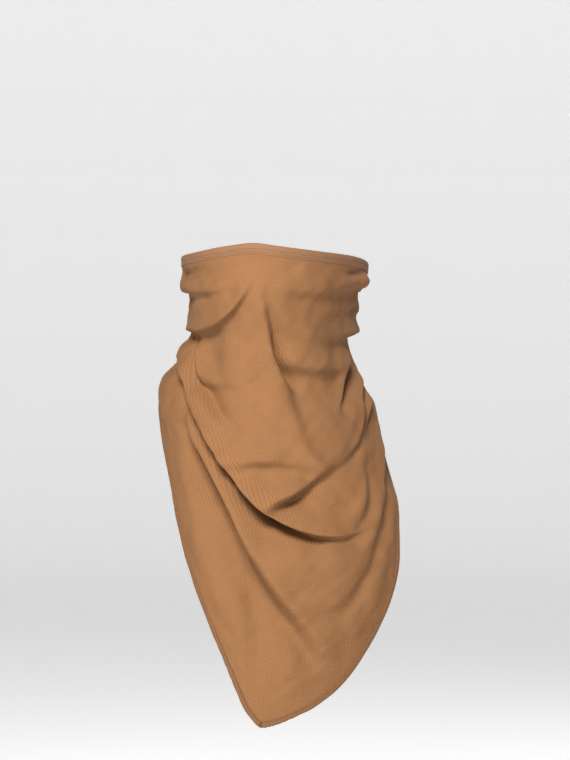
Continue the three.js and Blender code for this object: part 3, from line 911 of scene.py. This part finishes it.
def thread_material(name, colour):
    """Polyester sewing thread: a soft gloss with fine twisted plies, and painted shade in the grooves
    between them.
    """
    material, tree, shader = new_material(name, {"Specular IOR Level": 0.4, "Sheen Weight": 0.15})
    place = node(tree, "ShaderNodeTexCoord", (-1100, 0))
    twist = node(
        tree, "ShaderNodeTexWave", (-900, 0), {"Scale": 900.0, "Distortion": 1.5, "Detail": 1.0})
    worn = node(tree, "ShaderNodeTexNoise", (-900, -300), {"Scale": 700.0, "Detail": 2.0})
    # painted shade: a darker copy of the thread's colour goes in the grooves between the plies, where the
    # twist is low
    tint = node(tree, "ShaderNodeMix", (-500, 0), data_type="RGBA")
    tint.inputs["A"].default_value = (*darker(colour, 0.72), 1)
    tint.inputs["B"].default_value = (*colour, 1)
    rough = node(tree, "ShaderNodeMapRange", (-500, -300), {"To Min": 0.5, "To Max": 0.72})
    bump = node(tree, "ShaderNodeBump", (-250, -200), {"Strength": 0.6, "Distance": 0.00008})
    link = tree.links.new
    link(place.outputs["Object"], twist.inputs["Vector"])
    link(place.outputs["Object"], worn.inputs["Vector"])
    link(twist.outputs["Fac"], tint.inputs["Factor"])
    link(worn.outputs["Fac"], rough.inputs["Value"])
    link(tint.outputs["Result"], shader.inputs["Base Color"])
    link(rough.outputs["Result"], shader.inputs["Roughness"])
    link(twist.outputs["Fac"], bump.inputs["Height"])
    link(bump.outputs["Normal"], shader.inputs["Normal"])
    return material


def studio_material(name, colour, floor_glow, wall_glow):
    """Pale seamless paper that gives back a little light of its own, more where it lies flat."""
    material, tree, shader = new_material(name, {
        "Base Color": (*colour, 1),
        "Roughness": 0.95,
        "Specular IOR Level": 0.0,
        "Emission Color": (*colour, 1),
    })
    face = node(tree, "ShaderNodeNewGeometry", (-900, 0))
    split = node(tree, "ShaderNodeSeparateXYZ", (-700, 0))
    glow = node(
        tree, "ShaderNodeMapRange", (-450, 0),
        {"From Min": 1.0, "From Max": 0.0, "To Min": floor_glow, "To Max": wall_glow},
        interpolation_type="SMOOTHSTEP")
    tree.links.new(face.outputs["True Normal"], split.inputs[0])
    tree.links.new(split.outputs["Z"], glow.inputs["Value"])
    tree.links.new(glow.outputs["Result"], shader.inputs["Emission Strength"])
    return material


# ---------- settings ----------


class MaskCutSettings(bpy.types.PropertyGroup):
    """Sizes of the mask's pieces."""

    cloth: FloatProperty(
        name="Cloth", description="Thickness of the knit, in millimetres", default=0.8, min=0.3, max=2)
    tuck: FloatProperty(
        name="Tuck", description="Cloth held inside the band, in millimetres", default=2.0, min=0, max=5)
    rows_upper: IntProperty(
        name="Upper rows", description="Rows of the mesh above the cut", default=176, min=40, max=400)
    rows_lower: IntProperty(
        name="Lower rows", description="Rows of the mesh below the cut", default=124, min=30, max=300)
    hem_width: FloatProperty(
        name="Hem", description="Width of the rolled hem, in millimetres", default=4.0, min=2, max=8)
    stitch: FloatProperty(
        name="Stitch", description="Length of one stitch, in millimetres", default=2.5, min=1, max=5)
    thread: FloatProperty(
        name="Thread", description="Radius of the thread, in millimetres", default=0.2, min=0.1, max=0.5)


class MaskDrapeSettings(bpy.types.PropertyGroup):
    """How the cloth hangs."""

    fold_depth: FloatProperty(
        name="Fold depth", description="Depth of the folds, as a share", subtype="FACTOR",
        default=1.0, min=0, max=1.5)
    slack: FloatProperty(
        name="Slack", description="Small uneven slackness, in millimetres", default=0.38, min=0, max=2)
    seed: IntProperty(name="Seed", description="Seed of the slackness", default=7, min=0)


class MaskFinishSettings(bpy.types.PropertyGroup):
    """Colours of the mask's pieces and of the studio."""

    body: FloatVectorProperty(
        name="Body", description="Colour of the knit body's loops", subtype="COLOR", size=3,
        default=(0.192, 0.0882, 0.0352), min=0, max=1)
    band: FloatVectorProperty(
        name="Band", description="Colour of the binding", subtype="COLOR", size=3,
        default=(0.172, 0.086, 0.043), min=0, max=1)
    thread: FloatVectorProperty(
        name="Thread", description="Colour of the sewing thread", subtype="COLOR", size=3,
        default=(0.105, 0.048, 0.022), min=0, max=1)
    elastic: FloatVectorProperty(
        name="Elastic", description="Colour of the elastic tape", subtype="COLOR", size=3,
        default=(0.6, 0.5, 0.36), min=0, max=1)
    paper: FloatVectorProperty(
        name="Studio paper", description="Colour of the studio floor and wall", subtype="COLOR", size=3,
        default=(0.83, 0.83, 0.83), min=0, max=1)


# ---------- pieces ----------

made = {}


def on_the_band(piece):
    """The piece moves with the band as one."""
    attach(piece, "top_band")


def with_the_band(piece):
    """Bakes the piece's placement into its mesh; it is not tied to the band or the neck."""
    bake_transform(piece)


def with_the_bib(piece):
    """Bakes the piece's placement into its mesh; it is not tied to the neck or the bib."""
    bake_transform(piece)


def finished(piece, follow, slot, *stands_for):
    """Passes a piece to its follow function and hides the model's parts that it stands for; the slot is
    not used.
    """
    follow(piece)
    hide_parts(*stands_for)
    made[piece.name] = piece


def worn_body(scene):
    """The draped cloth, worked out once."""
    if "body" not in made:
        made["body"] = Body(scene.mask_cut, scene.mask_drape)
    return made["body"]


def materials(scene):
    """The mask's materials, made once."""
    if "materials" not in made:
        finish = scene.mask_finish
        hem = darker(finish.body, 0.8)
        made["materials"] = {
            # each knit's third number is the share of its colour left in the painted shade of its gaps
            "body": knit_material("Body knit", finish.body, 0.64, 2.1, 3.6, 0.24),
            "band": knit_material("Binding knit", finish.band, 0.86, 1.3, 0.9, 0.1),
            "hem": knit_material("Hem knit", hem, 0.7, 1.6, 1.3, 0.14),
            "elastic": knit_material("Elastic", finish.elastic, 0.6, 1.2, 0.8, 0.2),
            "thread": thread_material("Sewing thread", finish.thread),
        }
    return made["materials"]


class MASK_OT_knit_body(bpy.types.Operator):
    """Make the knit body: face and neck tube, cowl folds and bib"""

    bl_idname = "mask.knit_body"
    bl_label = "Knit body"

    def execute(self, context):
        body = worn_body(context.scene)
        bib = body.bib_columns()
        upper = self.layers("knit_body_upper", body.upper_place, body.upper, body.upper_inner,
                            body.upper_normal, True)
        lower = self.layers("knit_body_bib", body.lower_place[bib], body.lower[bib],
                            body.lower_inner[bib], body.lower_normal[bib], False)
        finished(upper, with_the_band, "body_knit", "face_tube", "neck_body")
        finished(lower, with_the_bib, "body_knit", "bib_fold", "bib")
        return {"FINISHED"}

    @staticmethod
    def layers(name, place, outer, inner, normal, closed):
        """The outer and inner faces of one part of the cloth, joined along all of its edges."""
        columns, rows = outer.shape[:2]
        layer = columns * rows
        faces = [grid_faces(columns, rows, closed), grid_faces(columns, rows, closed, layer, True)]
        i = np.arange(columns if closed else columns - 1)
        for row in (0, rows - 1):
            here, there = i * rows + row, ((i + 1) % columns) * rows + row
            rim = np.stack([here, there, there + layer, here + layer], -1)
            faces.append(rim if row == 0 else rim[:, ::-1])
        if not closed:
            j = np.arange(rows - 1)
            for side in (0, columns - 1):
                here = side * rows + j
                rim = np.stack([here, here + 1, here + 1 + layer, here + layer], -1)
                faces.append(rim[:, ::-1] if side == 0 else rim)
        vertices = np.concatenate([outer.reshape(-1, 3), inner.reshape(-1, 3)])
        normals = np.concatenate([normal.reshape(-1, 3), -normal.reshape(-1, 3)])
        uv = np.concatenate([place.reshape(-1, 2)] * 2) * MM
        faces = np.concatenate(faces)
        return new_mesh(name, vertices, faces, materials(bpy.context.scene)["body"], uv, normals)


# the hem's cross-section at the width that it is drawn for, as (outward, up)
HEM_DRAWN_WIDTH = 4.0
HEM_PROFILE = (
    (0.1, 0.9), (0.75, 0.7), (0.5, 0.25), (0.95, -0.3), (1.15, -1.2), (1.05, -2.3), (0.6, -3.2),
    (-0.3, -3.45), (-1.1, -3.0), (-1.5, -1.9), (-1.5, -0.6), (-1.35, 0.5), (-0.9, 0.9),
)

# at the tip the left run lies over the right one: how far out, and over what length
MITRE_LAP = 0.5
MITRE_LENGTH = 9.0

# each run of hem: its two ends, what it follows, and the nodes that it stands for
HEM_RUNS = (
    ("hem_neck", "cut_left", "cut_right", with_the_band,
     ("hem_back", "hem_right_upper", "hem_left_upper")),
    ("hem_bib_right", "cut_right", "tip", with_the_bib, ("hem_right_lower",)),
    ("hem_bib_left", "tip", "cut_left", with_the_bib, ("hem_left_lower",)),
)


class MASK_OT_rolled_hem(bpy.types.Operator):
    """Make the rolled hem round the lower edge, its stitching and the tack at the tip"""

    bl_idname = "mask.rolled_hem"
    bl_label = "Rolled hem"

    def execute(self, context):
        scene = context.scene
        body = worn_body(scene)
        edge = body.edge()
        count = len(body.columns)
        for name, first, last, follow, nodes in HEM_RUNS:
            start, end = body.marks[first], body.marks[last]
            columns = np.arange(start, (end if end > start else end + count) + 1) % count
            run = tuple(part[columns] for part in edge)
            finished(self.hem(name, run, scene), follow, "body_knit", *nodes)
            stitches = self.stitches(name, run, scene)
            finished(stitches, follow, "thread", *[f"{node_name}_stitch" for node_name in nodes])
        tip = [part[body.marks["tip"]] for part in edge]
        finished(self.tip_tack(tip, scene), with_the_bib, "thread", "tip_tack")
        return {"FINISHED"}

    @staticmethod
    def hem(name, run, scene):
        """One run of the hem, swollen a little between its stitches."""
        cut = scene.mask_cut
        length = lengths_along(run[0])
        profile = rounded(HEM_PROFILE, 1) * np.array([1, cut.hem_width / HEM_DRAWN_WIDTH])
        swelling = 1 + 0.05 * np.sin(length * math.tau / cut.stitch) + 0.02 * np.sin(length / 5.3)
        profiles = profile[None] * swelling[:, None, None]
        if name == "hem_bib_left":
            profiles = profiles + np.array([MITRE_LAP, 0]) * (length < MITRE_LENGTH)[:, None, None]
        vertices, faces, uv = swept(run, profiles, False)
        sides = profiles.shape[1]
        middle = np.arange(1, sides // 2)
        cap = np.stack([middle - 1, middle, sides - middle - 1, (sides - middle) % sides], -1)
        caps = np.concatenate([cap, cap[:, ::-1] + (len(profiles) - 1) * sides])
        return new_mesh(name, vertices, [faces, caps], materials(scene)["hem"], uv[:, ::-1])

    @staticmethod
    def stitches(name, run, scene):
        """The row of stitches in the hollow of the hem."""
        point, outward, up = run
        cut = scene.mask_cut
        row = point + outward * 0.78 + up * 0.12
        vertices, faces = stitch_row(
            row, outward, cut.stitch, cut.stitch * THREAD_SHARE, cut.thread, False, seed=len(name))
        return new_mesh(name + "_stitches", vertices, faces, materials(scene)["thread"])

    @staticmethod
    def tip_tack(tip, scene):
        """Five stitches over the mitre where the two front hems meet."""
        point, outward, up = tip
        side = unit(np.cross(outward, up))
        middles = [point + outward * 1.6 + up * (-0.4 - 0.55 * n) for n in range(5)]
        vertices, faces = tack_rows(middles, side, outward, 2.2, 2.0, 0.18)
        return new_mesh("tip_tack_thread", vertices, faces, materials(scene)["thread"])


# cross-sections of the binding and of the elastic inside it, as (outward, up) from the band's top
BINDING_PROFILE = (
    (0.45, -8.1), (0.85, -8.05), (1.05, -7.7), (1.05, -7.2), (0.9, -6.75), (0.88, -6.45), (1.1, -6.0),
    (1.12, -5.2), (0.95, -4.8), (0.95, -4.4), (1.2, -3.9), (1.3, -2.6), (1.2, -1.2), (0.85, -0.35),
    (0.3, 0.05), (-0.3, 0.05), (-1.0, -0.4), (-1.4, -1.6), (-1.5, -4.0), (-1.35, -6.5), (-1.2, -8.0),
    (-0.6, -8.1), (-0.55, -7.6), (-0.55, -1.2), (0, -0.95), (0.4, -1.2), (0.4, -7.6),
)
ELASTIC_PROFILE = ((-0.45, -5.9), (0.45, -5.9), (0.45, -1.4), (-0.45, -1.4))

# each row of cover stitch: its drop below the band's top, and how far out it lies
COVER_ROWS = (("lower", 6.6, 0.92), ("upper", 4.6, 0.98))

BAND_COLUMNS = 420


class MASK_OT_top_band(bpy.types.Operator):
    """Make the elastic band round the head opening: binding, elastic, cover stitch and tack"""

    bl_idname = "mask.top_band"
    bl_label = "Top band"

    def execute(self, context):
        scene = context.scene
        cut = scene.mask_cut
        looks = materials(scene)
        frames = self.frames(BAND_COLUMNS)
        point, outward, up = frames
        vertices, faces, uv = swept(frames, rounded(BINDING_PROFILE, 1), True)
        binding = new_mesh("band_binding", vertices, faces, looks["band"], uv[:, ::-1])
        vertices, faces, uv = swept(frames, rounded(ELASTIC_PROFILE, 1), True)
        elastic = new_mesh("band_elastic", vertices, faces, looks["elastic"], uv)
        finished(binding, on_the_band, "binding_knit", "top_binding")
        finished(elastic, on_the_band, "elastic", "elastic_tape")
        for name, drop, out in COVER_ROWS:
            row = point + outward * out - up * drop
            vertices, faces = stitch_row(
                row, outward, cut.stitch, cut.stitch * THREAD_SHARE, cut.thread, True)
            stitches = new_mesh(f"cover_stitch_{name}", vertices, faces, looks["thread"])
            finished(stitches, on_the_band, "thread", f"binding_stitch_{name}")
        finished(self.tack(frames, looks["thread"]), on_the_band, "thread", "binding_tack")
        return {"FINISHED"}

    @staticmethod
    def frames(count):
        """Point, outward and up along the band's upper edge, from the nape round to the nape."""
        angle = np.linspace(-180, 180, count, endpoint=False)
        top = band_top(angle)
        point = wrap(angle, top)
        up = unit(point - wrap(angle, top - BAND_HEIGHT))
        along = np.roll(point, -1, axis=0) - np.roll(point, 1, axis=0)
        return point, unit(np.cross(along, up)), up

    @staticmethod
    def tack(frames, material):
        """Close stitches over the binding's join at the nape."""
        point, outward, up = (part[0] for part in frames)
        side = unit(np.cross(outward, up))
        middles = [point + outward * 1.62 - up * (1.0 + 0.45 * n) for n in range(9)]
        vertices, faces = tack_rows(middles, side, outward, 3.0, 2.8, 0.2)
        return new_mesh("band_tack", vertices, faces, material)


# the back seam's allowance: how far its wales stand off the cloth, and how thick it is
SEAM_LIFT = (0.15, 0.5, 0.75, 0.9, 1.0, 1.1)
SEAM_THICKNESS = 1.1

# each row of its overlock: wale, height over the allowance, stitch, thread, seed and slant
OVERLOCK_PITCH = 2.2
OVERLOCK_ROWS = (
    (3, 0.1, 2.6, 0.22, 11, 3.4),
    (5, 0.05, 2.1, 0.24, 12, 0.0),
    (1, 0.1, 1.9, 0.2, 13, 0.0),
)


class MASK_OT_back_seam(bpy.types.Operator):
    """Make the centre back seam inside the nape, with its overlock thread"""

    bl_idname = "mask.back_seam"
    bl_label = "Back seam"

    def execute(self, context):
        scene = context.scene
        body = worn_body(scene)
        looks = materials(scene)
        middle = int(np.argmin(abs(body.columns - 180)))
        columns = np.arange(middle - 1, middle - 1 + len(SEAM_LIFT))
        rows = np.arange(8, body.upper.shape[1] - 4, 2)
        inner = body.upper_inner[np.ix_(columns, rows)]
        inward = -body.upper_normal[np.ix_(columns, rows)]
        waves = 0.25 * np.sin(np.arange(len(rows)) * 0.8) * np.linspace(0, 1, len(columns))[:, None]
        lift = np.array(SEAM_LIFT)[:, None] + waves
        near = inner + inward * lift[..., None]
        far = near + inward * SEAM_THICKNESS
        vertices = np.concatenate([near.reshape(-1, 3), far.reshape(-1, 3)])
        count, long = len(columns), len(rows)
        faces = np.concatenate([
            grid_faces(count, long, False),
            grid_faces(count, long, False, count * long, True),
            self.rim(count, long),
        ])
        uv = np.stack(np.broadcast_arrays(np.arange(count)[:, None] * 1.3, rows[None, :] * 0.5), -1)
        uv = np.concatenate([uv.reshape(-1, 2)] * 2) * MM
        seam = new_mesh("seam_allowance", vertices, faces, looks["body"], uv)
        vertices, faces = joined([
            stitch_row(far[wale] + inward[wale] * height, inward[wale], OVERLOCK_PITCH, stitch, thread,
                       False, seed, slant)
            for wale, height, stitch, thread, seed, slant in OVERLOCK_ROWS
        ])
        overlock = new_mesh("seam_overlock", vertices, faces, looks["thread"])
        finished(seam, with_the_band, "body_knit", "back_seam")
        finished(overlock, with_the_band, "thread", "back_seam_thread")
        return {"FINISHED"}

    @staticmethod
    def rim(count, long):
        """Quads round the edge between the allowance's two faces."""
        layer = count * long
        top = np.arange(count - 1) * long
        side = np.arange(long - 1)
        ends = [np.stack([top, top + long, top + long + layer, top + layer], -1)]
        foot = top + long - 1
        ends.append(np.stack([foot, foot + layer, foot + long + layer, foot + long], -1))
        ends.append(np.stack([side, side + layer, side + 1 + layer, side + 1], -1))
        far = side + (count - 1) * long
        ends.append(np.stack([far, far + 1, far + 1 + layer, far + layer], -1))
        return np.concatenate(ends)


class MASK_OT_studio(bpy.types.Operator):
    """Make the studio: a pale floor that curves up into a wall, soft lights and the camera"""

    bl_idname = "mask.studio"
    bl_label = "Studio"

    def execute(self, context):
        scene = context.scene
        self.paper(scene)
        self.lights(scene)
        self.camera(scene)
        scene.view_settings.view_transform = "Standard"
        scene.view_settings.look = "None"
        return {"FINISHED"}

    @staticmethod
    def paper(scene):
        """A round floor with its edge curved up, seen the same from all sides."""
        floor, radius, bend, wall = -620.0, 5200.0, 1400.0, 2000.0
        sides = 96
        flat = radius - bend
        turn = np.linspace(0, 90, 13)[1:] * RAD
        profile = [(600.0, floor), (flat, floor)]
        profile += [(flat + bend * math.sin(t), floor + bend - bend * math.cos(t)) for t in turn]
        profile.append((radius, floor + wall))
        around = np.linspace(0, math.tau, sides, endpoint=False)
        points = np.array([[(r * math.cos(a), r * math.sin(a), z) for r, z in profile] for a in around])
        rows = len(profile)
        vertices = np.concatenate([points.reshape(-1, 3), [[0, 0, floor]]])
        i = np.arange(sides)
        fan = np.stack([i * rows, ((i + 1) % sides) * rows, np.full(sides, sides * rows)], -1)
        material = studio_material("Paper", scene.mask_finish.paper, 0.5, 0.44)
        new_mesh("studio_paper", vertices, [grid_faces(sides, rows, True), fan], material)

    @staticmethod
    def lights(scene):
        """Soft lamps in front and behind, each with its place from the mask, size and watts."""
        low, high = (Vector(corner) for corner in cad_box)
        middle = (low + high) / 2
        for name, place, size, power in (
            ("key_light", (0.06, -1.42, 1.04), 0.7, 68),
            ("fill_light", (-0.25, -1.35, -0.24), 0.3, 6),
            ("back_light", (0.5, 1.2, 0.9), 0.9, 9),
        ):
            lamp = bpy.data.lights.new(name, "AREA")
            lamp.shape, lamp.size, lamp.energy = "DISK", size, power
            thing = bpy.data.objects.new(name, lamp)
            thing.location = middle + Vector(place)
            thing.rotation_mode = "QUATERNION"
            thing.rotation_quaternion = (middle - thing.location).to_track_quat("-Z", "Y")
            scene.collection.objects.link(thing)
        world = bpy.data.worlds.new("Studio air")
        world.use_nodes = True
        sky = world.node_tree.nodes["Background"]
        sky.inputs["Color"].default_value = (1.0, 0.98, 0.96, 1)
        sky.inputs["Strength"].default_value = 0.07
        scene.world = world

    @staticmethod
    def camera(scene):
        """A long lens at the height of the neck, square to the worn turn."""
        distance, near, tall, lift = 2.3, 0.085, 0.582, 2.0
        lens = bpy.data.cameras.new("camera")
        lens.sensor_width = 36.0
        lens.lens = lens.sensor_width * (distance - near) / tall
        turn, rise = WORN_TURN * RAD, lift * RAD
        across = Vector((math.cos(turn), math.sin(turn), 0))
        back = Vector((math.sin(turn), -math.cos(turn), 0)) * math.cos(rise)
        back.z = math.sin(rise)
        aim = across * (7.7 * MM) + Vector((0, 0, -95.5 * MM))
        thing = bpy.data.objects.new("camera", lens)
        thing.location = aim + back * distance
        thing.rotation_mode = "QUATERNION"
        thing.rotation_quaternion = (-back).to_track_quat("-Z", "Y")
        scene.collection.objects.link(thing)
        scene.camera = thing


class MASK_PT_panel(bpy.types.Panel):
    """The mask's pieces in the order in which they are made"""

    bl_idname = "MASK_PT_panel"
    bl_label = "Face mask"
    bl_space_type = "VIEW_3D"
    bl_region_type = "UI"
    bl_category = "Face mask"

    def draw(self, context):
        layout = self.layout
        for settings in ("mask_cut", "mask_drape", "mask_finish"):
            group = getattr(context.scene, settings)
            for name in group.bl_rna.properties.keys():
                if name not in ("rna_type", "name"):
                    layout.prop(group, name)
        for operator in OPERATORS:
            layout.operator(operator.bl_idname)


SETTINGS = {
    "mask_cut": MaskCutSettings,
    "mask_drape": MaskDrapeSettings,
    "mask_finish": MaskFinishSettings,
}
OPERATORS = (
    MASK_OT_studio,
    MASK_OT_knit_body,
    MASK_OT_rolled_hem,
    MASK_OT_top_band,
    MASK_OT_back_seam,
)


def register():
    for name, settings in SETTINGS.items():
        bpy.utils.register_class(settings)
        setattr(bpy.types.Scene, name, PointerProperty(type=settings))
    for operator in OPERATORS:
        bpy.utils.register_class(operator)
    bpy.utils.register_class(MASK_PT_panel)


def unregister():
    bpy.utils.unregister_class(MASK_PT_panel)
    for operator in reversed(OPERATORS):
        bpy.utils.unregister_class(operator)
    for name, settings in SETTINGS.items():
        delattr(bpy.types.Scene, name)
        bpy.utils.unregister_class(settings)


def main():
    register()
    bpy.ops.mask.studio()
    bpy.ops.mask.knit_body()
    bpy.ops.mask.rolled_hem()
    bpy.ops.mask.top_band()
    bpy.ops.mask.back_seam()


if __name__ == "__main__":
    main()
